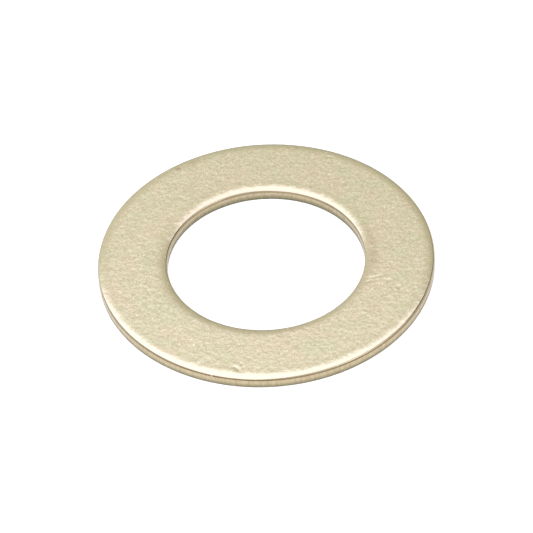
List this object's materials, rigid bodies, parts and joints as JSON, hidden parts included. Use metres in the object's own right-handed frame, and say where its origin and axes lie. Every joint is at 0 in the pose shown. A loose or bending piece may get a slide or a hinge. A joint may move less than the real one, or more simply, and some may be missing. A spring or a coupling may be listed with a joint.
{
  "type": "flat washer",
  "caption": "Thin flat ring pressed from sheet metal, with a round bore, die-rolled upper edges and a flat underside, for spreading the load of a bolt head or nut.",
  "frame": {"origin": "centre of the bore, on the underside, so the washer stands on Z = 0", "axes": "+Z along the bore's axis, from the underside with its sheared edges to the upper face with its die-rolled edges; the washer is round, so +X and +Y may point anywhere in its plane"},
  "size_m": [0.0222, 0.0222, 0.0008],
  "materials": {
    "plated_steel": "satin"
  },
  "bodies": {
    "root": {"washer": "plated_steel"}
  },
  "joints": []
}
